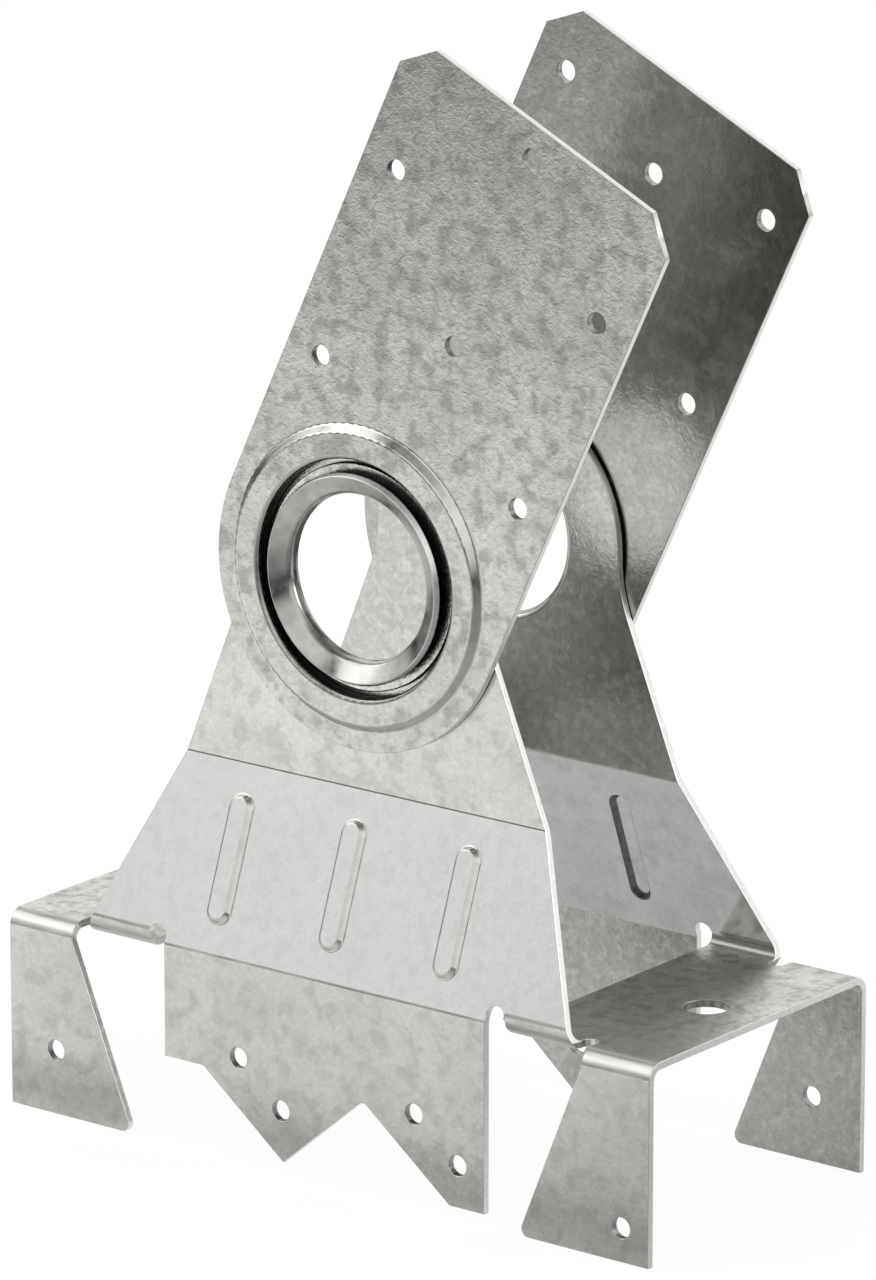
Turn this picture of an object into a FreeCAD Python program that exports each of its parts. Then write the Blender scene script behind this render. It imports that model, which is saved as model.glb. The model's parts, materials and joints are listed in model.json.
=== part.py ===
import FreeCAD, Part
import math, os
from FreeCAD import Vector

# Truss hinge connector in galvanised sheet. A folded saddle sits over the lower truss and carries
# two upright ears. On the outside of each ear a nailing plate turns about one common hinge axis.
# Frame: Z up, X along the saddle, Y across it. The origin is the middle of the hinge axis, which
# runs along Y. The pieces are drawn with heights from the deck's top face and are let down by the
# hinge height when they are written. Every outline is given on the front side, where Y is negative.
# All sizes are in mm.

# Sheet
sheet = 1.8
bend_inside = 2.2
crease_inside = 1.0

# Saddle: deck and legs
saddle_length = 181.2
saddle_width = 81.0
leg_drop = 46.4
leg_foot = 35.6
leg_slant = 22.0
leg_corner = 2.0
deck_hole = 10.0
deck_hole_end = 14.5

# Saddle: slanted walls and the ears above them
wall_step = 0.2
upper_crease = 41.65
ear_inset = 15.5
ear_rim = 15.0
ear_bite = 5.44
ear_blend = 36.0
hinge_height = 90.6

# Saddle: skirts that hang from the walls, with a zigzag lower edge
skirt_crease = 0.55
skirt_leg_gap = 9.6
skirt_short_width = 11.1
skirt_short_drop = 25.9
skirt_tip_x = -11.3
skirt_tip_drop = 44.0
skirt_notch_x = 11.3
skirt_notch_drop = 24.7
skirt_notch_corner = 2.0
skirt_long_width = 9.7
skirt_long_drop = 43.9

# Saddle: relief slots at the ends of the folds
leg_slot_width = 3.7
leg_slot_depth = 7.4
skirt_slot_width = 4.8
skirt_slot_top = 4.4
wall_join = 6.0

# Saddle: pressed ribs on the slanted walls
rib_pitch = 32.0
rib_width = 7.2
rib_low = 10.3
rib_crease_gap = 9.6
rib_rise = 1.2
rib_draft = 45.0
rib_edge = 0.5

# Hinge: collar drawn out of each ear and flared
bore_diameter = 37.8
bore_entry = 1.8
collar_wall = 1.5
collar_bend = 0.5
collar_land = 1.6
flare_out = 3.7
flare_angle = 60.0
flare_stand = 0.95

# Hinge: bearing ring between the collar and the plate
ring_bore_play = 0.9
ring_width = 4.5
ring_thickness = 1.2
ring_round = 0.3

# Nailing plates
plate_width = 79.0
plate_reach = 118.9
plate_chamfer = 7.5
plate_lean = 25.3
plate_play = 0.2
plate_ring_play = 1.2
plate_lip_round = 1.2
plate_lip_play = 0.4
boss_land = 6.1
boss_slope = 1.6
boss_foot_round = 1.0
boss_top_round = 1.0
boss_margin = 2.0
pocket_inset = 0.1
pocket_outset = 0.3
pocket_round = 0.5

# Nail holes: (from the end or edge, down) on the legs and skirts. The plates' lower rows are set
# out from the hinge and their upper rows from the top end, staggered from plate to plate so that
# nails from the two sides miss each other.
nail_hole = 4.8
leg_nail_near = (13.4, 31.1)
leg_nail_far = (7.4, 38.5)
skirt_nails_left = ((21.4, 22.0), (33.5, 31.9))
skirt_nails_right = ((19.6, 24.7), (7.4, 34.1))
plate_nail_edge = 9.4
front_side_rows = (39.8, 29.9)
front_middle_rows = (62.5, 7.2)
rear_side_rows = (55.1, 14.6)
rear_middle_rows = (47.5, 22.2)

# Worked out from the sizes above
half = sheet / 2
saddle_end = saddle_length / 2
leg_face = saddle_width / 2
leg_slope = math.tan(math.radians(leg_slant))
leg_inner = saddle_end - leg_foot
leg_top = leg_inner + (leg_drop - bend_inside - sheet) * leg_slope
skirt_half_width = leg_inner - skirt_leg_gap
deck_inner_edge = skirt_half_width + skirt_slot_width
wall_foot = leg_face - wall_step
ear_face = leg_face - ear_inset
wall_half_width = leg_top - leg_slot_width
lean = math.atan((wall_foot - ear_face) / upper_crease)
skirt_face = ear_face + (upper_crease - skirt_crease) * math.tan(lean)
throat = bore_diameter / 2
collar_outer = throat + collar_wall
ear_radius = throat + ear_rim
ring_bore = collar_outer + ring_bore_play
ring_edge = ring_bore + ring_width
plate_inner = ear_face + plate_play
plate_outer = plate_inner + sheet
boss_face = plate_outer + sheet
flare_face = boss_face + flare_stand
far = 2 * saddle_length

# The side edges of wall and ear are one straight cut in the flat sheet. It runs from the wall's
# foot to where it bites into the ear's round head, and that gives its angle.
flat_height = upper_crease / math.cos(lean) + hinge_height - upper_crease
side_reach = math.hypot(wall_half_width, flat_height)
side_angle = math.acos((ear_radius - ear_bite) / side_reach) - math.atan2(flat_height, wall_half_width)
side_slope = math.tan(side_angle)


def unit(a, b):
    """Direction from a to b in a plane."""
    length = math.hypot(b[0] - a[0], b[1] - a[1])
    return ((b[0] - a[0]) / length, (b[1] - a[1]) / length)


def corner(before, here, after, radius):
    """Where a round corner leaves and meets its two lines, the arc's middle and its centre."""
    i = unit(before, here)
    o = unit(here, after)
    turn = math.atan2(i[0] * o[1] - i[1] * o[0], i[0] * o[0] + i[1] * o[1])
    reach = radius * math.tan(abs(turn) / 2)
    start = (here[0] - i[0] * reach, here[1] - i[1] * reach)
    end = (here[0] + o[0] * reach, here[1] + o[1] * reach)
    side = math.copysign(1, turn)
    centre = (start[0] - side * i[1] * radius, start[1] + side * i[0] * radius)
    out = unit(centre, here)
    middle = (centre[0] + out[0] * radius, centre[1] + out[1] * radius)
    return start, middle, end, centre, side


def outline(points, place):
    """Closed wire through (a, b, radius) points, with round corners; place turns (a, b) to a vector."""
    edges = []
    pen = None
    first = None
    count = len(points)
    for k, point in enumerate(points):
        here = point[:2]
        radius = point[2] if len(point) > 2 else 0
        if radius:
            start, middle, end = corner(points[k - 1][:2], here, points[(k + 1) % count][:2], radius)[:3]
        else:
            start, end = here, here
        if pen:
            edges.append(Part.LineSegment(place(*pen), place(*start)).toShape())
        else:
            first = start
        if radius:
            edges.append(Part.Arc(place(*start), place(*middle), place(*end)).toShape())
        pen = end
    edges.append(Part.LineSegment(place(*pen), place(*first)).toShape())
    return Part.Wire(edges)


def elevation(points):
    """Prism right through the part whose outline is drawn from the front, as (x, z)."""
    face = Part.Face(outline(points, lambda x, z: Vector(x, -far, z)))
    return face.extrude(Vector(0, 2 * far, 0))


def strip(middle, radii, left, right):
    """Folded strip of sheet between x = left and x = right; middle is the sheet's middle line in (y, z)."""
    sides = ([], [])
    last = len(middle) - 1
    for shift, edges in ((half, sides[0]), (-half, sides[1])):
        d = unit(middle[0], middle[1])
        pen = (middle[0][0] - d[1] * shift, middle[0][1] + d[0] * shift)
        edges.append(pen)
        for k in range(1, last):
            radius = radii[k - 1] + half
            start, mid, end, centre, side = corner(middle[k - 1], middle[k], middle[k + 1], radius)
            grow = (radius - side * shift) / radius
            edges.append([tuple(c + (p - c) * grow for p, c in zip(q, centre)) for q in (start, mid, end)])
        d = unit(middle[last - 1], middle[last])
        edges.append((middle[last][0] - d[1] * shift, middle[last][1] + d[0] * shift))

    def at(p):
        return Vector(left, p[0], p[1])

    def walk(items):
        made = []
        pen = items[0]
        for item in items[1:]:
            if isinstance(item, list):
                made.append(Part.LineSegment(at(pen), at(item[0])).toShape())
                made.append(Part.Arc(*[at(p) for p in item]).toShape())
                pen = item[2]
            else:
                made.append(Part.LineSegment(at(pen), at(item)).toShape())
                pen = item
        return made

    ends = [Part.LineSegment(at(sides[0][k]), at(sides[1][k])).toShape() for k in (0, -1)]
    loop = Part.Wire(Part.sortEdges(walk(sides[0]) + walk(sides[1]) + ends)[0])
    return Part.Face(loop).extrude(Vector(right - left, 0, 0))


def turned(section):
    """Solid of revolution about the hinge axis; section points are (radius, distance out from Y = 0)."""
    face = Part.Face(outline(section, lambda r, out: Vector(r, -out, hinge_height)))
    return face.revolve(Vector(0, 0, hinge_height), Vector(0, 1, 0), 360)


def drill(diameter, x, z):
    """Bit that goes through the front side only, along Y."""
    return Part.makeCylinder(diameter / 2, far, Vector(x, -far, z), Vector(0, 1, 0))


def other_side(shape):
    """The same form on the rear side: the part turned half a turn about Z."""
    copy = shape.copy()
    copy.rotate(Vector(0, 0, 0), Vector(0, 0, 1), 180)
    return copy


def wall_middle(z):
    """Y of the slanted wall's middle line at height z."""
    return -(ear_face + (upper_crease - z) * math.tan(lean) - half / math.cos(lean))


def wall_middle_height(y):
    """Height where the slanted wall's middle line reaches y."""
    return upper_crease - (-y - ear_face + half / math.cos(lean)) / math.tan(lean)


def wall_and_ear():
    """Front wall folded up from the deck, leaning in, then creased upright into the ear."""
    top = hinge_height + ear_radius
    ear_middle = -(ear_face - half)
    deck_middle = -half
    middle = [(-leg_face / 2, deck_middle), (wall_middle(deck_middle), deck_middle),
              (ear_middle, wall_middle_height(ear_middle)), (ear_middle, top + sheet)]
    body = strip(middle, (bend_inside, crease_inside), -saddle_end, saddle_end)
    wall_slope = side_slope / math.cos(lean)
    low = 2 * sheet
    foot = wall_half_width + low * wall_slope
    shoulder = wall_half_width - upper_crease * wall_slope
    # The ear's straight edge runs up towards the head and would touch it at this height
    rise = hinge_height - upper_crease
    meet = head_meeting(shoulder, rise)
    right = [(foot, -low), (shoulder, upper_crease), (shoulder - meet * side_slope, upper_crease + meet)]
    prism = elevation([(-x, z) for x, z in right] + [(x, z) for x, z in reversed(right)])
    blend = ear_blend_piece(shoulder)
    head = drill(2 * ear_radius, 0, hinge_height)
    mould = prism.fuse([head, blend, blend.mirror(Vector(0, 0, 0), Vector(1, 0, 0))])
    return body.common(mould)


def head_meeting(shoulder, rise):
    """Height above the crease where the ear's straight edge crosses the round head."""
    a = 1 + side_slope ** 2
    b = -2 * (shoulder * side_slope + rise)
    c = shoulder ** 2 + rise ** 2 - ear_radius ** 2
    return (-b - math.sqrt(b * b - 4 * a * c)) / (2 * a)


def ear_blend_piece(shoulder):
    """Hollow corner between the ear's straight edge and its round head, on the right side."""
    # The arc's centre stands ear_blend away from the edge line and ear_radius + ear_blend from the axis
    nx, nz = math.cos(side_angle), math.sin(side_angle)
    base = shoulder * nx + upper_crease * nz + ear_blend
    gap = base - hinge_height * nz
    along = math.sqrt((ear_radius + ear_blend) ** 2 - gap ** 2)
    cx = gap * nx + along * nz
    cz = hinge_height + gap * nz - along * nx
    on_edge = (cx - ear_blend * nx, cz - ear_blend * nz)
    share = ear_radius / (ear_radius + ear_blend)
    on_head = (cx * share, hinge_height + (cz - hinge_height) * share)
    out = unit((cx, cz), ((on_edge[0] + on_head[0]) / 2, (on_edge[1] + on_head[1]) / 2))
    middle = (cx + out[0] * ear_blend, cz + out[1] * ear_blend)
    inside = (on_edge[0] / 2, hinge_height)
    a, b, c, d = [Vector(x, -far, z) for x, z in (on_edge, middle, on_head, inside)]
    wire = Part.Wire([Part.Arc(a, b, c).toShape(), Part.LineSegment(c, d).toShape(),
                      Part.LineSegment(d, a).toShape()])
    return Part.Face(wire).extrude(Vector(0, 2 * far, 0))


def skirt():
    """Skirt that goes on down from the middle of the wall, up to the height where the wall joins it."""
    middle_y = -(skirt_face - half)
    low = -2 * leg_drop
    middle = [(middle_y, low), (middle_y, wall_middle_height(middle_y)),
              (wall_middle(upper_crease), upper_crease)]
    body = strip(middle, (crease_inside,), -deck_inner_edge, deck_inner_edge)
    shape = [(-deck_inner_edge, wall_join), (-deck_inner_edge, -skirt_short_drop),
             (skirt_short_width - skirt_half_width, -skirt_short_drop), (skirt_tip_x, -skirt_tip_drop),
             (skirt_notch_x, -skirt_notch_drop, skirt_notch_corner),
             (skirt_half_width - skirt_long_width, -skirt_long_drop),
             (deck_inner_edge, -skirt_long_drop), (deck_inner_edge, wall_join)]
    return body.common(elevation(shape))


def leg(side):
    """Front leg at one end: side is -1 on the left and 1 on the right."""
    middle = [(-leg_face / 2, -half), (-(leg_face - half), -half), (-(leg_face - half), -2 * leg_drop)]
    body = strip(middle, (bend_inside,), -saddle_end, saddle_end)
    shape = [(side * saddle_end, sheet), (side * saddle_end, -leg_drop),
             (side * leg_inner, -leg_drop, leg_corner),
             (side * leg_top, -bend_inside - sheet), (side * leg_top, sheet)]
    return body.common(elevation(shape))


def wall_frame(x, z):
    """Placement on the wall's outer face: its own Z points out of the wall and its own Y up the slope."""
    turn = FreeCAD.Rotation(Vector(1, 0, 0), 90 - math.degrees(lean))
    y = -(ear_face + (upper_crease - z) * math.tan(lean))
    return FreeCAD.Placement(Vector(x, y, z), turn)


def stadium(width, length, height):
    """Long round-ended outline along its own Y, at a height in its own Z."""
    r = width / 2
    a, b, c, d = [Vector(x, y, height) for x, y in ((r, 0), (r, length), (-r, length), (-r, 0))]
    far_end, near_end = Vector(0, length + r, height), Vector(0, -r, height)
    return Part.Wire([Part.LineSegment(a, b).toShape(), Part.Arc(b, far_end, c).toShape(),
                      Part.LineSegment(c, d).toShape(), Part.Arc(d, near_end, a).toShape()])


def tapered(foot, top, length, foot_height):
    """Long block whose sides lean in from its foot to its top, with a straight stem below the foot."""
    low = stadium(foot, length, foot_height)
    high = stadium(top, length, foot_height + rib_rise)
    stem = Part.Face(low).extrude(Vector(0, 0, -half))
    return Part.makeLoft([low, high], True, True), stem


def rib(x):
    """Pressed rib: the block that stands out of the wall and the hollow behind it."""
    draft = math.radians(rib_draft)
    taper = 2 * rib_rise / math.tan(draft)
    mouth = rib_width - 2 * sheet * math.tan(draft / 2)
    length = (upper_crease - rib_crease_gap - rib_low) / math.cos(lean)
    block, stem = tapered(rib_width, rib_width - taper, length, 0)
    rim = [e for e in block.Edges if e.BoundBox.ZMin > rib_rise / 2]
    block = block.makeFillet(rib_edge, rim).fuse(stem)
    hollow, mouth_stem = tapered(mouth, mouth - taper, length, -sheet)
    hollow = hollow.fuse(mouth_stem)
    spot = wall_frame(x, rib_low)
    for piece in (block, hollow):
        piece.Placement = spot.multiply(piece.Placement)
    return block, hollow


def collar_section():
    """Half section of the ear round its bore: entry, throat and the flared rim."""
    angle = math.radians(flare_angle)
    rear_corner = (collar_outer + flare_out, flare_face - collar_wall * math.sin(angle))
    front_corner = (rear_corner[0] - collar_wall * math.cos(angle), flare_face)
    inner_turn = flare_face - (front_corner[0] - throat) / math.tan(angle)
    outer_turn = rear_corner[1] - flare_out / math.tan(angle)
    inner_face = ear_face - sheet
    rim = collar_outer + collar_land
    return [(rim, inner_face), (throat, inner_face, bore_entry),
            (throat, inner_turn, collar_bend + collar_wall), front_corner, rear_corner,
            (collar_outer, outer_turn, collar_bend), (collar_outer, ear_face), (rim, ear_face)]


def skirt_slot(side):
    """Round-topped slot between the skirt and the fold at one side of the wall."""
    r = skirt_slot_width / 2
    x = side * (skirt_half_width + r)
    z = skirt_slot_top - r
    slot = Part.makeBox(skirt_slot_width, far, far, Vector(x - r, -far, z - far))
    return slot.fuse(drill(skirt_slot_width, x, z))


def leg_slot(side):
    """Round-ended slot in the deck between the wall's fold and the leg's fold."""
    r = leg_slot_width / 2
    x = side * (leg_top - r)
    y = r + leg_slot_depth - wall_foot - leg_slot_width
    slot = Part.makeBox(leg_slot_width, far, 2 * sheet, Vector(x - r, y - far, -1.5 * sheet))
    return slot.fuse(Part.makeCylinder(r, 2 * sheet, Vector(x, y, -1.5 * sheet)))


def saddle_front():
    """Everything of the saddle on the front side of its deck."""
    wall = wall_and_ear()
    window = Part.makeBox(2 * deck_inner_edge, far, far, Vector(-deck_inner_edge, -far, wall_join - far))
    wall = wall.cut(window)
    body = wall.fuse([skirt(), leg(-1), leg(1)])
    body = body.cut([skirt_slot(-1), skirt_slot(1)])
    body = body.cut(drill(2 * (collar_outer + collar_land), 0, hinge_height))
    body = body.fuse(turned(collar_section()))
    ribs = [rib(x) for x in (-rib_pitch, 0, rib_pitch)]
    body = body.fuse([block for block, hollow in ribs]).cut([hollow for block, hollow in ribs])
    nails = [(leg_nail_near[0] - saddle_end, leg_nail_near[1]),
             (saddle_end - leg_nail_far[0], leg_nail_far[1])]
    nails += [(across - skirt_half_width, down) for across, down in skirt_nails_left]
    nails += [(skirt_half_width - across, down) for across, down in skirt_nails_right]
    return body.cut([drill(nail_hole, x, -down) for x, down in nails])


def deck(side):
    """Flat end of the deck, as far as the walls' folds."""
    reach = -wall_middle(-half) - (bend_inside + half) * math.tan(math.pi / 4 + lean / 2)
    left = deck_inner_edge if side > 0 else -saddle_end
    plate = Part.makeBox(saddle_end - deck_inner_edge, 2 * reach, sheet, Vector(left, -reach, -sheet))
    middle = Vector(side * (saddle_end - deck_hole_end), 0, -far / 2)
    return plate.cut(Part.makeCylinder(deck_hole / 2, far, middle))


def make_saddle():
    """The whole saddle: two decks, and the front side repeated half a turn round."""
    front = saddle_front()
    slots = [leg_slot(-1), leg_slot(1)]
    body = front.fuse([other_side(front), deck(-1), deck(1)])
    body = body.cut(slots + [other_side(s) for s in slots])
    return body.removeSplitter()


def plate_outline():
    """Front nailing plate upright: round foot about the hinge, chamfered top corners."""
    w = plate_width / 2
    top = hinge_height + plate_reach
    straight = top - plate_chamfer
    a, b = Vector(-w, -plate_outer, hinge_height), Vector(w, -plate_outer, hinge_height)
    foot = Part.Arc(a, Vector(0, -plate_outer, hinge_height - w), b).toShape()
    corners = [(w, hinge_height), (w, straight), (w - plate_chamfer, top), (plate_chamfer - w, top),
               (-w, straight), (-w, hinge_height)]
    at = [Vector(x, -plate_outer, z) for x, z in corners]
    sides = [Part.LineSegment(p, q).toShape() for p, q in zip(at, at[1:])]
    return Part.Face(Part.Wire([foot] + sides)).extrude(Vector(0, sheet, 0))


def boss_section():
    """Half section of the plate's raised ring, with the pocket behind it and the lip round its hole."""
    hole = ring_edge + plate_ring_play
    top = hole + boss_land
    foot = top + boss_slope
    lip_end = ear_face + plate_lip_play
    return [(foot + boss_margin, plate_outer), (foot, plate_outer, boss_foot_round),
            (top, boss_face, boss_top_round), (hole, boss_face, plate_lip_round),
            (hole, lip_end), (hole + sheet, lip_end), (hole + sheet, plate_outer, pocket_round),
            (top + pocket_inset, plate_outer, pocket_round), (foot + pocket_outset, plate_inner),
            (foot + boss_margin, plate_inner)]


def make_plate(side_rows, middle_rows, rear):
    """Nailing plate with its rows of nail holes, leaning as it stands at rest."""
    boss = boss_section()
    body = plate_outline().cut(drill(2 * boss[0][0], 0, hinge_height))
    body = body.fuse(turned(boss)).removeSplitter()
    aside = plate_width / 2 - plate_nail_edge
    for x, rows in ((-aside, side_rows), (aside, side_rows), (0, middle_rows)):
        lower = hinge_height + rows[0]
        upper = hinge_height + plate_reach - rows[1]
        body = body.cut([drill(nail_hole, x, lower), drill(nail_hole, x, upper)])
    if rear:
        body = other_side(body)
    body.rotate(Vector(0, 0, hinge_height), Vector(0, 1, 0), plate_lean)
    return body


def make_ring(rear):
    """Bearing ring that lies on the ear round the collar, inside the plate's hole."""
    face = ear_face + ring_thickness
    ring = turned([(ring_bore, ear_face), (ring_edge, ear_face), (ring_edge, face, ring_round),
                   (ring_bore, face)])
    return other_side(ring) if rear else ring


def write(name, shape):
    """Brings the hinge axis to the origin, writes one node and says what it is made of."""
    shape.translate(Vector(0, 0, -hinge_height))
    solids = shape.Solids
    solid = solids[0] if len(solids) == 1 else shape
    print(name, "solids", len(solids), "valid", solid.isValid(), "volume", round(solid.Volume, 1))
    solid.exportStep(os.path.join("parts", name + ".step"))


os.makedirs("parts", exist_ok=True)
write("saddle", make_saddle())
write("front_plate", make_plate(front_side_rows, front_middle_rows, False))
write("rear_plate", make_plate(rear_side_rows, rear_middle_rows, True))
write("front_bearing_ring", make_ring(False))
write("rear_bearing_ring", make_ring(True))
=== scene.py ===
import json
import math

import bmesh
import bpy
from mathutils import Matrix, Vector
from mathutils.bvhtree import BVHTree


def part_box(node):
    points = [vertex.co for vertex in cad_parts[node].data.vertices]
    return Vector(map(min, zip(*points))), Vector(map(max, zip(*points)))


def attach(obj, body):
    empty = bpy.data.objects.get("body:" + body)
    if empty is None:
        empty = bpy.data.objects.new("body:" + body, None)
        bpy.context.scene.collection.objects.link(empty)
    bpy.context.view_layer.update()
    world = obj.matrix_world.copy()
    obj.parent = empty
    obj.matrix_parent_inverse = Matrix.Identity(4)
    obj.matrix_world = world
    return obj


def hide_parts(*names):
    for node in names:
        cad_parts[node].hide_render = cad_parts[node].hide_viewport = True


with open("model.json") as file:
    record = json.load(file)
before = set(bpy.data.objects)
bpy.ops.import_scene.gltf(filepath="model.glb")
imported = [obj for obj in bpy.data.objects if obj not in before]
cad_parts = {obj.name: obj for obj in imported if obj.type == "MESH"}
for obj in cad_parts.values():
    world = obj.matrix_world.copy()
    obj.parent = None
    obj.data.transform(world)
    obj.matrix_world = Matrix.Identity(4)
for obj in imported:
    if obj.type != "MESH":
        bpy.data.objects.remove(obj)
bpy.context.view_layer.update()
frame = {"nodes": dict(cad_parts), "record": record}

# %% [markdown]
# This scene dresses a truss hinge connector. The real one is folded from galvanised sheet: a
# saddle that goes over a timber chord, and two nailing plates that turn on collars drawn out of
# the saddle's ears. The frame that was just loaded holds its solids, so nothing here changes a
# size. What the scene adds is what makes sheet metal look real: broken edges, the zinc's grain,
# bright cut edges and burnished bends.

mm = 0.001
mounts = {mount["name"]: mount for mount in frame["record"]["mounts"]}
bore_radius = mounts["hinge_bore"]["dims"]["r_mm"]
deck_height = mounts["deck_holes"]["pos_m"][2]
floor_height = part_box("saddle")[0].z
print("nodes", sorted(frame["nodes"]), "deck at", deck_height, "floor at", round(floor_height, 4))

# %% [markdown]
# The camera stands where the photograph was taken: to the right of the front, a little above the
# hinge, and far off, so that parallel edges hardly close in. Its lens is worked out from how fast
# the two plates shrink with distance. Blender measures the lens against the long side of a
# portrait picture.

# %% Camera
camera_place = (1.16148, -1.48863, 0.52122)
camera_azimuth = 37.93
camera_elevation = 16.0
camera_lens = 248.19
camera_sensor = 36
camera_reach = 50

camera = bpy.data.objects.new("camera", bpy.data.cameras.new("camera"))
camera.location = camera_place
camera.rotation_euler = (math.radians(90 - camera_elevation), 0, math.radians(camera_azimuth))
camera.data.lens = camera_lens
camera.data.sensor_width = camera_sensor
camera.data.clip_end = camera_reach
bpy.context.scene.collection.objects.link(camera)
bpy.context.scene.camera = camera
bpy.context.scene.view_settings.view_transform = "Standard"
print("camera", camera_place, "lens", camera_lens)

# %% [markdown]
# Colours are written as they look on a screen, in hex. Blender's shaders work in linear light, so
# one function turns them round. A second one adds a node with its settings and its links, which
# keeps each material short enough to read as a recipe.

# %% Colour and node helpers
def colour(hex_code):
    """Linear RGBA of an sRGB hex colour."""
    channels = [int(hex_code[k:k + 2], 16) / 255 for k in (1, 3, 5)]
    return [c / 12.92 if c <= 0.04045 else ((c + 0.055) / 1.055) ** 2.4 for c in channels] + [1]


def add(tree, kind, inputs=None, stops=(), **settings):
    """A node; inputs are values or sockets to link from, stops a colour ramp's (position, hex)."""
    node = tree.nodes.new(kind)
    for k, (position, hex_code) in enumerate(stops):
        element = node.color_ramp.elements[k] if k < 2 else node.color_ramp.elements.new(position)
        element.position = position
        element.color = colour(hex_code)
    for name, value in settings.items():
        setattr(node, name, value)
    for name, value in (inputs or {}).items():
        if isinstance(value, bpy.types.NodeSocket):
            tree.links.new(value, node.inputs[name])
        else:
            node.inputs[name].default_value = value
    return node


def per_mm(size):
    """Texture scale whose pattern repeats about every size millimetres."""
    return 1 / (size * mm)


def new_material(name):
    """An empty material: its node tree and its Principled shader, linked to the output."""
    material = bpy.data.materials.new(name)
    material.use_nodes = True
    tree = material.node_tree
    tree.nodes.clear()
    shader = add(tree, "ShaderNodeBsdfPrincipled")
    add(tree, "ShaderNodeOutputMaterial", {"Surface": shader.outputs["BSDF"]})
    return material, tree, shader


print("white is", [round(v, 3) for v in colour("#ffffff")])

# %% [markdown]
# Hot-dip galvanised sheet is steel with a skin of frozen zinc. It is a metal, so it has no colour
# of its own beyond what it reflects, and its roughness blurs that into a soft grey. The skin of
# this sheet shows three things: faint clouds some 25 mm wide, soft dull spots of a few
# millimetres where the zinc froze coarsely, and an embossed crinkle, like fine leather, that
# catches the light. A photograph of zinc would slide or stretch on the folds, so noise in the
# piece's own coordinates makes all three, and a twisted one gives the crinkle, as a bump and as a
# slight change of tone. Below, the same recipe gives each face of the sheet its own finish.

# %% Galvanised recipe
cloud_mm = 25
cloud_edges = (0.35, 0.65)
spot_edges = (0.44, 0.68)
crinkle_edges = (0.35, 0.65)
spot_dulling = 0.06


def galvanised(name, light, dark, spot, spot_mm, spot_share, crinkle_mm, crinkle_depth_mm,
               crinkle_tone, roughness):
    """Zinc skin: light and dark are its clouds, spot its dull spots, crinkle its embossed relief."""
    material, tree, shader = new_material(name)
    place = add(tree, "ShaderNodeTexCoord").outputs["Object"]
    clouds = add(tree, "ShaderNodeTexNoise",
                 {"Vector": place, "Scale": per_mm(cloud_mm), "Detail": 5.0, "Roughness": 0.6})
    tint = add(tree, "ShaderNodeValToRGB", {"Fac": clouds.outputs["Fac"]},
               [(cloud_edges[0], dark), (cloud_edges[1], light)])
    blots = add(tree, "ShaderNodeTexNoise",
                {"Vector": place, "Scale": per_mm(spot_mm), "Detail": 2.0, "Roughness": 0.5, "Distortion": 0.2})
    dullness = add(tree, "ShaderNodeMapRange",
                   {"Value": blots.outputs["Fac"], "From Min": spot_edges[0], "From Max": spot_edges[1],
                    "To Max": spot_share},
                   interpolation_type="SMOOTHSTEP")
    spotted = add(tree, "ShaderNodeMix",
                  {"Factor": dullness.outputs["Result"], "A": tint.outputs["Color"], "B": colour(spot)},
                  data_type="RGBA")
    crinkle = add(tree, "ShaderNodeTexNoise",
                  {"Vector": place, "Scale": per_mm(crinkle_mm), "Detail": 3.0, "Roughness": 0.66,
                   "Distortion": 0.8})
    bump = add(tree, "ShaderNodeBump",
               {"Height": crinkle.outputs["Fac"], "Distance": crinkle_depth_mm * mm})
    tree.links.new(bump.outputs["Normal"], shader.inputs["Normal"])
    tone = add(tree, "ShaderNodeMapRange",
               {"Value": crinkle.outputs["Fac"], "From Min": crinkle_edges[0], "From Max": crinkle_edges[1],
                "To Min": 1 - crinkle_tone, "To Max": 1 + crinkle_tone})
    shade = add(tree, "ShaderNodeVectorMath",
                {0: spotted.outputs["Result"], "Scale": tone.outputs["Result"]}, operation="SCALE")
    tree.links.new(shade.outputs["Vector"], shader.inputs["Base Color"])
    dull = add(tree, "ShaderNodeMapRange",
               {"Value": dullness.outputs["Result"], "To Min": roughness, "To Max": roughness + spot_dulling})
    tree.links.new(dull.outputs["Result"], shader.inputs["Roughness"])
    shader.inputs["Metallic"].default_value = 1.0
    return material


print("clouds", cloud_mm, "mm wide")

# %% [markdown]
# Outside, the sheet keeps the skin that it was bought with. The plates are the most spotted and
# crinkled. The slanted walls were ironed smooth by the press, and the deck's coarse skin spreads
# the light. The bearing rings are stamped from brighter strip.

# %% Galvanised faces outside
# Outside of the plates: coarse dull spots and a leathery crinkle on a soft mid grey.
plate_zinc = galvanised("galvanised_spotted", light="#c8cac4", dark="#b9bbb4", spot="#999b95",
                        spot_mm=4.5, spot_share=0.7, crinkle_mm=1.3, crinkle_depth_mm=0.09,
                        crinkle_tone=0.1, roughness=0.2)
# Outside of the ears, legs and skirts: the same crinkle, lighter, with fainter spots.
saddle_zinc = galvanised("galvanised_crinkled", light="#ced0ca", dark="#c1c3bd", spot="#b1b3ad",
                         spot_mm=4.5, spot_share=0.6, crinkle_mm=1.3, crinkle_depth_mm=0.07,
                         crinkle_tone=0.07, roughness=0.2)
# Slanted walls: pressed smooth, one even light grey with hardly any grain.
wall_zinc = galvanised("galvanised_smooth", light="#d7d8d6", dark="#d3d4d2", spot="#cdcecb",
                       spot_mm=3, spot_share=0.4, crinkle_mm=1, crinkle_depth_mm=0.01,
                       crinkle_tone=0.03, roughness=0.2)
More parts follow.
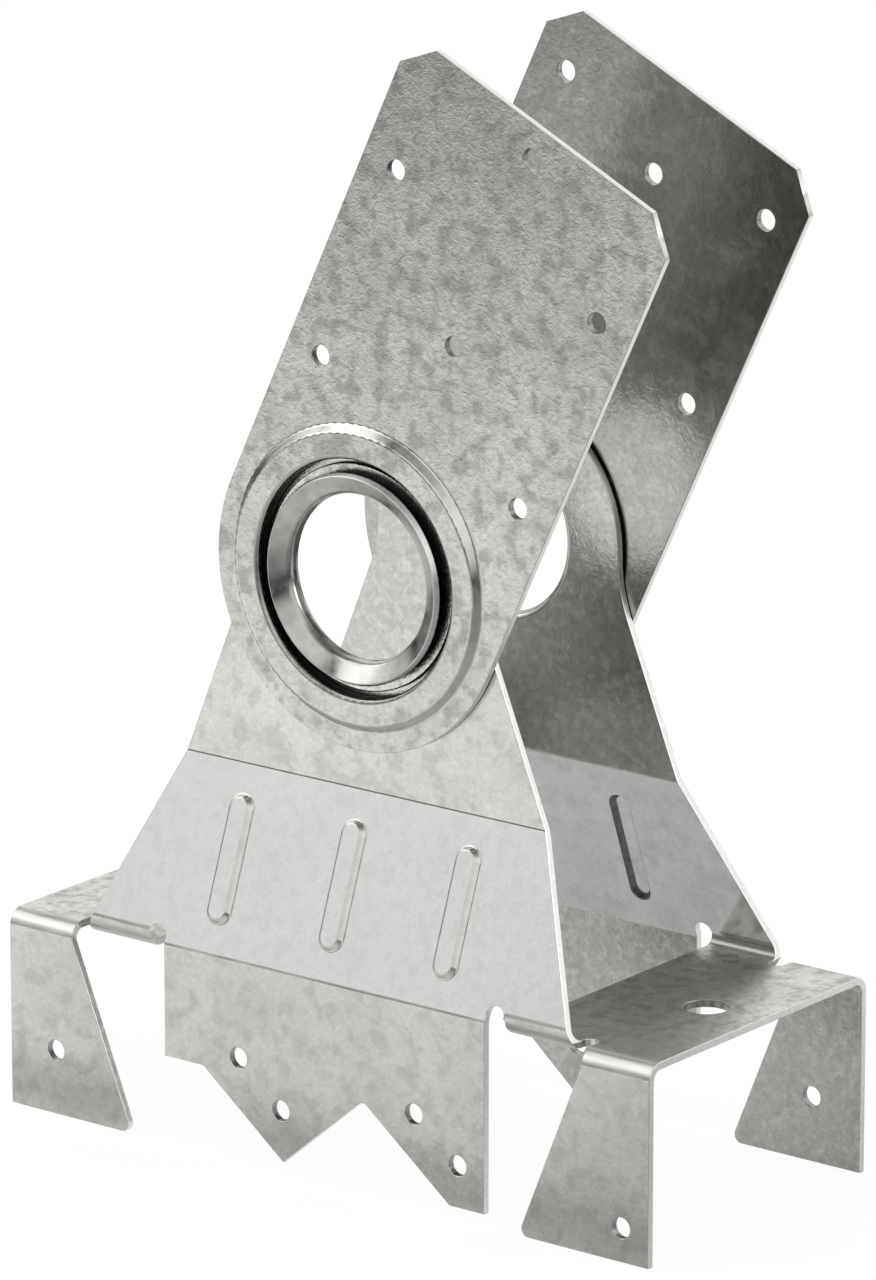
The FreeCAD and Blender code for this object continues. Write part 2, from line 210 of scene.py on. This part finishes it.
# Deck: coarse spangle that blurs what it mirrors and mottles it.
deck_zinc = galvanised("galvanised_coarse", light="#d8dad5", dark="#c0c2bd", spot="#acaea8",
                       spot_mm=3.5, spot_share=0.9, crinkle_mm=1.5, crinkle_depth_mm=0.05,
                       crinkle_tone=0.13, roughness=0.38)
# Bearing rings: a grainy, light band round the collar.
washer_zinc = galvanised("galvanised_washer", light="#d6d8d2", dark="#c8cac4", spot="#a8aaa4",
                         spot_mm=2, spot_share=0.8, crinkle_mm=1.2, crinkle_depth_mm=0.08,
                         crinkle_tone=0.16, roughness=0.25)
print("outside", [m.name for m in (plate_zinc, saddle_zinc, wall_zinc, deck_zinc, washer_zinc)])

# %% [markdown]
# The inside of the sheet ran over the rollers, so it is shinier and has finer spangles that are lighter than
# the zinc round them. Its base tone is darker than the outside's, as painted shade, and it faces the dark side
# of the studio and mirrors it.

# %% Galvanised faces inside
# Inside of the ears, legs and skirts: a shiny grey, painted darker as shade, with small light spangles.
inner_zinc = galvanised("galvanised_spangled", light="#bbbdb8", dark="#acaea9", spot="#d0d2cc",
                        spot_mm=2.5, spot_share=0.5, crinkle_mm=1.4, crinkle_depth_mm=0.05,
                        crinkle_tone=0.12, roughness=0.17)
# Inside of the plates: the darkest zinc, painted dark as shade, near a mirror, with clear dark and light areas.
plate_inner_zinc = galvanised("galvanised_plate_inner", light="#aeb0ab", dark="#a0a29d",
                              spot="#bbbdb7", spot_mm=4, spot_share=0.7, crinkle_mm=1.4,
                              crinkle_depth_mm=0.04, crinkle_tone=0.12, roughness=0.17)
# Inside of the slanted walls: smooth as outside, painted darker as shade, with broad faint clouds.
wall_inner_zinc = galvanised("galvanised_smooth_inner", light="#c0c1be", dark="#b7b8b5",
                             spot="#adaeab", spot_mm=6, spot_share=0.6, crinkle_mm=1.4,
                             crinkle_depth_mm=0.01, crinkle_tone=0.06, roughness=0.15)
print("inside", [m.name for m in (inner_zinc, plate_inner_zinc, wall_inner_zinc)])

# %% [markdown]
# Where the press draws, flares or folds the sheet, the tool rubs the zinc smooth. Those faces mirror their
# surroundings in streaks. A sheared edge is bare steel, painted lighter as a highlight, the lightest thing on
# the part. Both are metal with almost no grain, so one recipe with streaks in its colour and its roughness
# serves them. The painted shade of hollows, gaps and hole walls uses it too, in dark tones.

# %% Burnished, sheared and painted-shade finishes
streak_edges = (0.3, 0.7)
streak_smoothing = 0.05
streak_dulling = 0.08


def bright_steel(name, dark, light, roughness, streak_mm, stretch=1):
    """Rubbed or sheared metal with streaks, stretched along the folds where stretch is over 1."""
    material, tree, shader = new_material(name)
    place = add(tree, "ShaderNodeTexCoord").outputs["Object"]
    along = add(tree, "ShaderNodeVectorMath", {0: place, 1: (1 / stretch, 1, 1)}, operation="MULTIPLY")
    streaks = add(tree, "ShaderNodeTexNoise",
                  {"Vector": along.outputs["Vector"], "Scale": per_mm(streak_mm), "Detail": 3.0})
    rough = add(tree, "ShaderNodeMapRange",
                {"Value": streaks.outputs["Fac"], "From Min": streak_edges[0], "From Max": streak_edges[1],
                 "To Min": roughness - streak_smoothing, "To Max": roughness + streak_dulling})
    tree.links.new(rough.outputs["Result"], shader.inputs["Roughness"])
    shade = add(tree, "ShaderNodeValToRGB", {"Fac": streaks.outputs["Fac"]},
                [(streak_edges[0], dark), (streak_edges[1], light)])
    tree.links.new(shade.outputs["Color"], shader.inputs["Base Color"])
    shader.inputs["Metallic"].default_value = 1.0
    return material


# Drawn collar: burnished by the die, so it mirrors the studio round its cone in clean bands.
burnished = bright_steel("burnished_collar", "#a0a19d", "#b8b9b5", 0.17, 3.0)
# Folds: rubbed by the bending tool, a soft sheen in fine streaks along the fold.
folded = bright_steel("rubbed_fold", "#a9aaa6", "#cbccc8", 0.28, 1.2, stretch=10)
# Slopes of the pressed rings and ribs: stretched smooth, so each draws a crisp line.
slope_steel = bright_steel("stretched_slope", "#bcbdb9", "#d0d1cd", 0.18, 2.5)
# Lip round a plate's hole: rolled over, a slightly dull grey rim.
lip_steel = bright_steel("rolled_lip", "#9a9c97", "#b0b2ad", 0.24, 2.0)
# Sheared edges: bare steel, lightened with a painted highlight to a nearly white line along every cut.
sheared = bright_steel("sheared_edge", "#e6e6e4", "#f2f2f0", 0.34, 1.0)
# Walls of the punched holes: sheared steel darkened with painted shade, a mid grey crescent.
punched = bright_steel("punched_hole_shade", "#868884", "#aeb0ac", 0.3, 1.0)
# Inside of the pressed ribs: a hollow darkened with painted shade, a dark groove with a little shine.
pressed = bright_steel("rib_hollow_shade", "#4a4b48", "#6a6b68", 0.18, 2.0)
# Running gap of the hinge: painted shade where light hardly reaches, near black.
shaded = bright_steel("painted_gap_shade", "#141513", "#20211f", 0.5, 1.5)
print("rubbed", [m.name for m in (burnished, folded, slope_steel, lip_steel)])
print("cut and shaded", [m.name for m in (sheared, punched, pressed, shaded)])

# %% [markdown]
# Painted shade darkens the fold where the ear meets the slanted wall. It is a line a third of a millimetre
# wide, far too thin for a face of its own, so it is painted into the two finishes that meet there, by the
# height of each point above or below the fold.

# %% Painted shade in the upper fold
crease_height = -48.95
crease_shade_width = 0.28
crease_shade_tone = 0.22
crease_shade_full = 0.4 * crease_shade_width
crease_shade_end = 0.75 * crease_shade_width


def crease_shade_line(material):
    """Darken a finish with painted shade in a thin level line at the height of the upper fold."""
    tree = material.node_tree
    shader = next(node for node in tree.nodes if node.type == "BSDF_PRINCIPLED")
    clean = shader.inputs["Base Color"].links[0].from_socket
    place = add(tree, "ShaderNodeTexCoord").outputs["Object"]
    axes = add(tree, "ShaderNodeSeparateXYZ", {"Vector": place})
    above = add(tree, "ShaderNodeMath", {0: axes.outputs["Z"], 1: crease_height * mm}, operation="SUBTRACT")
    off_line = add(tree, "ShaderNodeMath", {0: above.outputs[0]}, operation="ABSOLUTE")
    tone = add(tree, "ShaderNodeMapRange",
               {"Value": off_line.outputs[0], "From Min": crease_shade_full * mm, "From Max": crease_shade_end * mm,
                "To Min": crease_shade_tone})
    shade = add(tree, "ShaderNodeVectorMath", {0: clean, "Scale": tone.outputs["Result"]}, operation="SCALE")
    tree.links.new(shade.outputs["Vector"], shader.inputs["Base Color"])


# Painted shade along the upper fold, in the ear and wall finishes.
crease_shade_line(saddle_zinc)
crease_shade_line(wall_zinc)
print("painted crease shade", crease_shade_width, "mm wide at", crease_height)

# %% [markdown]
# Each CAD node is dressed as a merged copy. The frame's mesh is loose triangles, so its doubles
# are merged. A folded sheet has two skins 1.8 mm apart, and everything else is a cut edge, so a
# ray shot inwards from a face tells them apart: on a skin it meets the other skin within the
# sheet's thickness. A second ray, shot outwards, finds the walls of small holes, which look
# across at each other.

# %% Sides of the sheet
sheet = 1.8
thinnest = 0.5 * sheet
thickest = 1.3 * sheet
widest_hole = 12
ray_start = 0.001
other_skin = -0.8
other_wall = -0.9


def is_skin(tree, face):
    """Whether the other side of the sheet lies straight behind this face."""
    start = face.calc_center_median() - face.normal * ray_start * mm
    hit, other_normal, index, distance = tree.ray_cast(start, -face.normal, thickest * mm)
    return hit is not None and other_normal.dot(face.normal) < other_skin and distance > thinnest * mm


def is_in_hole(tree, face):
    """Whether this face looks straight across a small hole at its other wall."""
    start = face.calc_center_median() + face.normal * ray_start * mm
    hit, other_normal, index, distance = tree.ray_cast(start, face.normal, widest_hole * mm)
    return hit is not None and other_normal.dot(face.normal) < other_wall


print("sheet", sheet, "mm thick")

# %% [markdown]
# A press leaves its sheared edges slightly broken, so they get a bevel of a fifth of a millimetre.
# Flat shading would show every facet of a fold, and smooth shading alone would bend the light on
# the flats beside it. So each face corner gets its own normal: wide flats keep theirs, and the
# narrow faces of folds and rounds take theirs from their neighbours, the wider the stronger.

# %% Broken edges and corner normals
edge_break = 0.2
edge_segments = 2
shear_angle = math.radians(40)
flat_enough = math.cos(math.radians(0.3))
smooth_enough = math.cos(math.radians(50))
wide_flat = 100 * mm ** 2
narrow_flat = 0.001 * mm ** 2


def sheared_edges(bm, cuts, kept_sharp):
    """Edges between a face of the cut classes and any other, except where kept_sharp says so."""
    found = []
    for edge in bm.edges:
        sides = [face.material_index in cuts for face in edge.link_faces]
        middle = (edge.verts[0].co + edge.verts[1].co) / (2 * mm)
        if sides.count(True) == 1 and edge.calc_face_angle() > shear_angle and not kept_sharp(middle):
            found.append(edge)
    return found


def flat_areas(bm):
    """For each face, the area of the flat patch that it belongs to."""
    patch_area = [0.0] * len(bm.faces)
    seen = set()
    for first in bm.faces:
        if first.index in seen:
            continue
        seen.add(first.index)
        patch = [first]
        for face in patch:
            for edge in face.edges:
                for other in edge.link_faces:
                    if other.index not in seen and other.normal.dot(first.normal) > flat_enough:
                        seen.add(other.index)
                        patch.append(other)
        area = sum(face.calc_area() for face in patch)
        for face in patch:
            patch_area[face.index] = area
    return patch_area


def corner_normals(bm):
    """A normal per face corner that follows the widest flat there, so flats stay flat up to a fold."""
    bm.faces.index_update()
    patch_area = flat_areas(bm)
    normals = []
    for face in bm.faces:
        for corner in face.loops:
            total = face.normal.copy()
            if patch_area[face.index] < wide_flat:
                for other in corner.vert.link_faces:
                    if other.normal.dot(face.normal) > smooth_enough:
                        total += other.normal * (patch_area[other.index] / narrow_flat) ** 2
            normals.append(total.normalized())
    return normals


print("edges broken by", edge_break, "mm")

# %% [markdown]
# The faces are sorted into finishes while they are still triangles, because a joined face could
# span two finishes. Flat areas are then joined into single faces up to the border of a finish,
# edges too short for the bevel are collapsed, and the bevel follows. Rounding could push a corner
# a hair outside the solid, so every vertex is kept within the node's own box.

# %% Dressed copies of the nodes
merge_distance = 0.002
smallest_edge = 0.12
same_plane = math.radians(0.05)


def dressed_copy(node, name, finishes, finish_of, cuts, kept_sharp):
    """Merged copy of a CAD node with broken edges; finish_of says which finish a face gets."""
    bm = bmesh.new()
    bm.from_mesh(frame["nodes"][node].data)
    bmesh.ops.remove_doubles(bm, verts=bm.verts, dist=merge_distance * mm)
    low = [min(vert.co[axis] for vert in bm.verts) for axis in range(3)]
    high = [max(vert.co[axis] for vert in bm.verts) for axis in range(3)]
    bm.normal_update()
    solid = BVHTree.FromBMesh(bm)
    for face in bm.faces:
        face.smooth = True
        middle = face.calc_center_median() / mm
        side = "skin" if is_skin(solid, face) else "hole" if is_in_hole(solid, face) else "cut"
        face.material_index = finish_of(middle, face.normal, side)
    bmesh.ops.dissolve_limit(bm, angle_limit=same_plane, verts=bm.verts, edges=bm.edges, delimit={"MATERIAL"})
    edges = sheared_edges(bm, cuts, kept_sharp)
    bmesh.ops.dissolve_degenerate(bm, dist=smallest_edge * mm, edges=edges)
    bm.normal_update()
    edges = sheared_edges(bm, cuts, kept_sharp)
    bmesh.ops.bevel(bm, geom=edges, offset=edge_break * mm, offset_type="OFFSET", segments=edge_segments,
                    profile=0.5, affect="EDGES", clamp_overlap=False, material=-1, loop_slide=False)
    for vert in bm.verts:
        vert.co = [min(max(vert.co[axis], low[axis]), high[axis]) for axis in range(3)]
    bm.normal_update()
    normals = corner_normals(bm)
    mesh = bpy.data.meshes.new(name)
    bm.to_mesh(mesh)
    bm.free()
    mesh.normals_split_custom_set(normals)
    piece = bpy.data.objects.new(name, mesh)
    bpy.context.scene.collection.objects.link(piece)
    for finish in finishes:
        mesh.materials.append(finish)
    print(name, "faces", len(mesh.polygons), "broken edges", len(edges))
    return piece


# %% [markdown]
# The saddle's faces are sorted by where they lie and which way they look. The hinge axis is the
# Y axis, so a face's distance from it tells the collar from the ear. Flats look along Y on the
# ears, legs and skirts, along Z on the deck, and lean on the walls. What is left of the skin is a
# fold or a pressed rib. A collar's faces are told apart by how far they look away from the axis
# and outwards: its cut rim looks both ways, its outer side only away, and the rest is mirror.

# %% Finishes of the saddle
FLAT, WALL, DECK, COLLAR, FOLD, CUT, GAP, HOLE, FLAT_INNER, WALL_INNER, RIB, HOLLOW = range(12)
ear_face = 25.0
entry_round = 1.8
flare_reach = 24.5
wall_lean = math.radians(20.16)
deck_top = deck_height / mm
rib_foot = 4
rib_places = (-32, 0, 32)
rib_reach = 4.2
away_enough = 0.2
outward_enough = 0.4
square_on_ear = 0.98
square_on_wall = 0.9995
square_on = 0.99


def collar_finish(radius, away, outward, depth):
    """Finish of a face of the drawn collar; away points from the axis, outward from the middle."""
    if away > away_enough and outward > outward_enough:
        return CUT
    # The collar's outer side under the flare gets the gap's near black painted shade.
    if away > away_enough and depth > ear_face:
        return GAP
    if abs(outward) < square_on_ear or radius < bore_radius + entry_round:
        return COLLAR
    return FLAT if outward > 0 else FLAT_INNER


def saddle_finish(at, normal, side):
    """Finish of one face of the saddle, from its middle in mm, its normal and its side of the sheet."""
    radius = math.hypot(at.x, at.z)
    if radius < flare_reach and at.z > crease_height:
        away = (at.x * normal.x + at.z * normal.z) / radius
        return collar_finish(radius, away, math.copysign(1, at.y) * normal.y, abs(at.y))
    leaning = Vector((0, math.copysign(math.cos(wall_lean), at.y), math.sin(wall_lean)))
    if deck_top < at.z < crease_height and abs(normal.dot(leaning)) > square_on_wall:
        return WALL if normal.dot(leaning) > 0 else WALL_INNER
    off_rib = min(abs(at.x - x) for x in rib_places)
    # Ribs: the outer side gets the slope finish, and the inner side, the hollow, gets painted shade.
    if deck_top + rib_foot < at.z < crease_height and off_rib < rib_reach:
        return RIB if normal.dot(leaning) > 0 else HOLLOW
    # Cut faces. Walls of holes below the deck get the punched finish, darkened as painted shade.
    if side != "skin":
        return HOLE if side == "hole" and at.z < deck_top else CUT
    if abs(normal.y) > square_on:
        return FLAT if normal.y * at.y > 0 else FLAT_INNER
    return DECK if abs(normal.z) > square_on else FOLD


print("deck top at", round(deck_top, 2), "mm")

# %% [markdown]
# Round relief slots let the sheet fold without tearing. Where one runs out of a fold, its edges
# are shorter than the bevel is wide and would fold over each other, so those few stay sharp.

# %% Saddle
slot_edge_x = 50.2
slot_edge_reach = 0.35
slot_edge_low = 1.3
slot_edge_high = 4.3


def slot_corner(at):
    """The few tiny edges where a relief slot runs out of a fold."""
    beside_slot = abs(abs(at.x) - slot_edge_x) < slot_edge_reach
    return beside_slot and slot_edge_low < at.z - deck_top < slot_edge_high


saddle_finishes = [saddle_zinc, wall_zinc, deck_zinc, burnished, folded, sheared, shaded, punched,
                   inner_zinc, wall_inner_zinc, slope_steel, pressed]
saddle = dressed_copy("saddle", "folded_saddle", saddle_finishes, saddle_finish, (CUT, HOLE), slot_corner)
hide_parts("saddle")
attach(saddle, "saddle")

# %% [markdown]
# A nailing plate is a flat blank with a ring pressed up round its hole. The top of the ring keeps the blank's
# finish, and its slope and the hole's lip are stretched, so they shine. The hole's wall lies in the running gap
# and gets near black painted shade. Nail holes look across at themselves and get the punched finish's painted
# shade, and the other cut edges look along the sheet.

# %% Nailing plates
PLATE, SLOPE, SHEARED, LIP, PLATE_INNER, HOLE_WALL, NAIL_HOLE = range(7)
pressed_reach = 36
lip_reach = 28.6
across_axis = 0.1


def plate_finish(at, normal, side):
    """Finish of one face of a nailing plate."""
    radius = math.hypot(at.x, at.z)
    # The wall of a plate's hole gets the gap's near black painted shade.
    if radius < lip_reach and abs(normal.y) < across_axis:
        return HOLE_WALL
    if radius < pressed_reach and abs(normal.y) < square_on:
        return LIP if radius < lip_reach else SLOPE
    # Nail hole walls get the punched finish, darkened as painted shade.
    if radius > pressed_reach and side != "skin":
        return NAIL_HOLE if side == "hole" else SHEARED
    return PLATE if normal.y * at.y > 0 else PLATE_INNER


def no_corner(at):
    """Every sheared edge of the piece is broken."""
    return False


plate_finishes = [plate_zinc, slope_steel, sheared, lip_steel, plate_inner_zinc, shaded, punched]
for side in ("front", "rear"):
    plate = dressed_copy(f"{side}_plate", f"{side}_nailing_plate", plate_finishes, plate_finish,
                         (SHEARED, NAIL_HOLE), no_corner)
    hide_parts(f"{side}_plate")
    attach(plate, f"{side}_plate")

# %% [markdown]
# The bearing rings are stamped washers. Their flat face shows as a light, grainy band between the collar and
# the plate's lip. Their rims stand in the running gap, so those get the gap's near black painted shade.

# %% Bearing rings
washer_face = 0.9


def ring_finish(at, normal, side):
    """Finish of one face of a bearing ring: zinc on its flats, painted shade on its rims."""
    return 0 if abs(normal.y) > washer_face else 1


for side in ("front", "rear"):
    washer = dressed_copy(f"{side}_bearing_ring", f"{side}_washer", [washer_zinc, shaded], ring_finish,
                          (), no_corner)
    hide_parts(f"{side}_bearing_ring")
    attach(washer, "saddle")

# %% [markdown]
# The studio is a white floor under a pale sky. Metal shows what surrounds it, so the floor and the sky matter
# more than the lamps. Rays straight from the camera see white, and the floor keeps a soft shadow. In
# reflections the floor glows with a painted pool of light at the front left, dims outwards and to the right as
# painted shade, and has a faint painted shadow strip across it. Behind the part it turns into an evenly lit
# backdrop. An upright face mirrors one patch of this floor, so the left of the part is lighter than its right,
# and the skirts are lighter than the tops of the plates.

# %% Floor paint
# Painted light in the floor's reflections: a pool of light, shade towards the right and a shadow strip.
pool_centre = (-0.3, -0.33, floor_height)
pool_strength = 1.7
pool_fade = [(0.03, "#f0f0f0"), (0.08, "#e7e7e7"), (0.12, "#e0e0e0"), (0.27, "#d1d1d1"), (0.34, "#c7c7c7"),
             (0.42, "#bcbcbc"), (0.55, "#b1b1b1"), (0.75, "#a6a6a6"), (1.0, "#606060")]
right_fade = (-0.02, 0.2)
right_share = 0.45
shadow_strip_span = (-0.15, 0.05)
shadow_strip_fade = [(0.36, "#ffffff"), (0.42, "#d8d8d8"), (0.5, "#d8d8d8"), (0.57, "#ffffff")]
backdrop_span = (0.0, 0.25)
camera_white = 1.06
glow_share = 0.88


def white_floor():
    """Floor that is white to the camera, glows in reflections with a painted pool of light, painted shade and a
    painted shadow strip, and still takes a shadow.
    """
    material = bpy.data.materials.new("studio_floor")
    material.use_nodes = True
    tree = material.node_tree
    tree.nodes.clear()
    paint = add(tree, "ShaderNodeBsdfDiffuse", {"Color": colour("#e4e4e4")})
    white = add(tree, "ShaderNodeEmission", {"Color": colour("#ffffff"), "Strength": camera_white})
    place = add(tree, "ShaderNodeTexCoord").outputs["Object"]
    # Painted pool of light: in reflections the floor glows brightest round pool_centre and dims outwards.
    distance = add(tree, "ShaderNodeVectorMath", {0: place, 1: pool_centre}, operation="DISTANCE")
    fade = add(tree, "ShaderNodeValToRGB", {"Fac": distance.outputs["Value"]}, pool_fade)
    axes = add(tree, "ShaderNodeSeparateXYZ", {"Vector": place})
    # Painted shade: the glow dims towards the right.
    rightwards = add(tree, "ShaderNodeMapRange",
                     {"Value": axes.outputs["X"], "From Min": right_fade[0], "From Max": right_fade[1],
                      "To Min": 1.0, "To Max": right_share},
                     interpolation_type="SMOOTHSTEP")
    # Painted shadow: a darker strip across the floor in front of the part.
    forwards = add(tree, "ShaderNodeMapRange",
                   {"Value": axes.outputs["Y"], "From Min": shadow_strip_span[0], "From Max": shadow_strip_span[1]})
    strip = add(tree, "ShaderNodeValToRGB", {"Fac": forwards.outputs["Result"]}, shadow_strip_fade)
    dimmed = add(tree, "ShaderNodeVectorMath", {0: fade.outputs["Color"], 1: strip.outputs["Color"]},
                 operation="MULTIPLY")
    front = add(tree, "ShaderNodeVectorMath",
                {0: dimmed.outputs["Vector"], "Scale": rightwards.outputs["Result"]}, operation="SCALE")
    backdrop = add(tree, "ShaderNodeMapRange",
                   {"Value": axes.outputs["Y"], "From Min": backdrop_span[0], "From Max": backdrop_span[1]},
                   interpolation_type="SMOOTHSTEP")
    lit = add(tree, "ShaderNodeMix",
              {"Factor": backdrop.outputs["Result"], "A": front.outputs["Vector"], "B": colour("#c7c7c7")},
              data_type="RGBA")
    pool = add(tree, "ShaderNodeEmission", {"Color": lit.outputs["Result"], "Strength": pool_strength})
    path = add(tree, "ShaderNodeLightPath")
    glow = add(tree, "ShaderNodeMixShader",
               {0: path.outputs["Is Camera Ray"], 1: pool.outputs[0], 2: white.outputs[0]})
    seen = add(tree, "ShaderNodeMath",
               {0: path.outputs["Is Camera Ray"], 1: path.outputs["Is Transmission Ray"]}, operation="MAXIMUM")
    seen_or_mirrored = add(tree, "ShaderNodeMath", {0: seen.outputs[0], 1: path.outputs["Is Glossy Ray"]},
                           operation="MAXIMUM")
    share = add(tree, "ShaderNodeMath", {0: seen_or_mirrored.outputs[0], 1: glow_share}, operation="MULTIPLY")
    mix = add(tree, "ShaderNodeMixShader", {0: share.outputs[0], 1: paint.outputs[0], 2: glow.outputs[0]})
    add(tree, "ShaderNodeOutputMaterial", {"Surface": mix.outputs[0]})
    return material


print("pool at", [round(v, 3) for v in pool_centre])

# %% [markdown]
# The floor itself is one large square. It lies a fifth of a millimetre under the part, so that
# the two never share a plane.

# %% Floor
floor_half_width = 5
floor_gap = 0.2

bm = bmesh.new()
bmesh.ops.create_grid(bm, x_segments=1, y_segments=1, size=floor_half_width)
bmesh.ops.translate(bm, verts=bm.verts, vec=(0, 0, floor_height - floor_gap * mm))
floor_mesh = bpy.data.meshes.new("floor")
bm.to_mesh(floor_mesh)
bm.free()
floor = bpy.data.objects.new("floor", floor_mesh)
floor_mesh.materials.append(white_floor())
bpy.context.scene.collection.objects.link(floor)
print("floor at", round(floor_height, 4))

# %% [markdown]
# The slanted walls and the deck mirror the sky a little above the horizon, where it is bright. It
# falls off towards the top, which gives faces that look up a darker tone. The horizon is dark, as
# the far wall of a studio is, and draws the fine dark lines on folds, lips and rounded rings. A
# narrow dark gap between two lights, a little left of the front, draws the dark stripe in the
# flared collars and the lines beside the ribs. The camera itself sees plain white.

# %% Sky
gap_azimuth = -26
gap_half_width = 3.5
gap_share = 0.15
sky_strength = 1.3
sky_by_height = [(0.0, "#383838"), (0.05, "#606060"), (0.12, "#dedede"), (0.28, "#ececec"), (0.45, "#ffffff"),
                 (0.6, "#f0f0f0"), (0.75, "#c0c0c0"), (0.95, "#7a7a7a")]

world = bpy.data.worlds.new("studio_sky")
bpy.context.scene.world = world
world.use_nodes = True
sky = world.node_tree
sky.nodes.clear()
direction = add(sky, "ShaderNodeTexCoord").outputs["Generated"]
axes = add(sky, "ShaderNodeSeparateXYZ", {"Vector": direction})
gradient = add(sky, "ShaderNodeValToRGB", {"Fac": axes.outputs["Z"]}, sky_by_height)
towards_front = add(sky, "ShaderNodeMath", {0: axes.outputs["Y"], 1: -1.0}, operation="MULTIPLY")
azimuth = add(sky, "ShaderNodeMath", {0: axes.outputs["X"], 1: towards_front.outputs[0]}, operation="ARCTAN2")
aside = add(sky, "ShaderNodeMath", {0: azimuth.outputs[0], 1: -math.radians(gap_azimuth)}, operation="ADD")
off_gap = add(sky, "ShaderNodeMath", {0: aside.outputs[0]}, operation="ABSOLUTE")
gap = add(sky, "ShaderNodeMapRange",
          {"Value": off_gap.outputs[0], "From Min": math.radians(gap_half_width),
           "From Max": math.radians(2 * gap_half_width), "To Min": gap_share * sky_strength,
           "To Max": sky_strength})
lit = add(sky, "ShaderNodeBackground", {"Color": gradient.outputs["Color"], "Strength": gap.outputs["Result"]})
plain = add(sky, "ShaderNodeBackground", {"Color": colour("#ffffff"), "Strength": 1.0})
camera_ray = add(sky, "ShaderNodeLightPath").outputs["Is Camera Ray"]
both = add(sky, "ShaderNodeMixShader", {0: camera_ray, 1: lit.outputs[0], 2: plain.outputs[0]})
add(sky, "ShaderNodeOutputWorld", {"Surface": both.outputs[0]})
print("sky gap at", gap_azimuth, "degrees")

# %% [markdown]
# One large soft lamp stands high at the front left. It gives the pressed ribs, the raised ring
# and the folds their highlights. A small weak one at the right, a little behind the part,
# brightens the cut edges.

# %% Lamps
def soft_lamp(name, place, size, power):
    """Square area lamp that looks at the hinge."""
    lamp = bpy.data.objects.new(name, bpy.data.lights.new(name, "AREA"))
    lamp.data.shape = "SQUARE"
    lamp.data.size = size
    lamp.data.energy = power
    lamp.location = place
    lamp.rotation_euler = (-Vector(place)).to_track_quat("-Z", "Y").to_euler()
    bpy.context.scene.collection.objects.link(lamp)
    return lamp


lamps = [soft_lamp("left_lamp", place=(-1.39, -0.87, 1.47), size=1.6, power=10),
         soft_lamp("right_lamp", place=(1.8, 0.6, 0.7), size=0.8, power=6)]
print("lamps", [lamp.name for lamp in lamps])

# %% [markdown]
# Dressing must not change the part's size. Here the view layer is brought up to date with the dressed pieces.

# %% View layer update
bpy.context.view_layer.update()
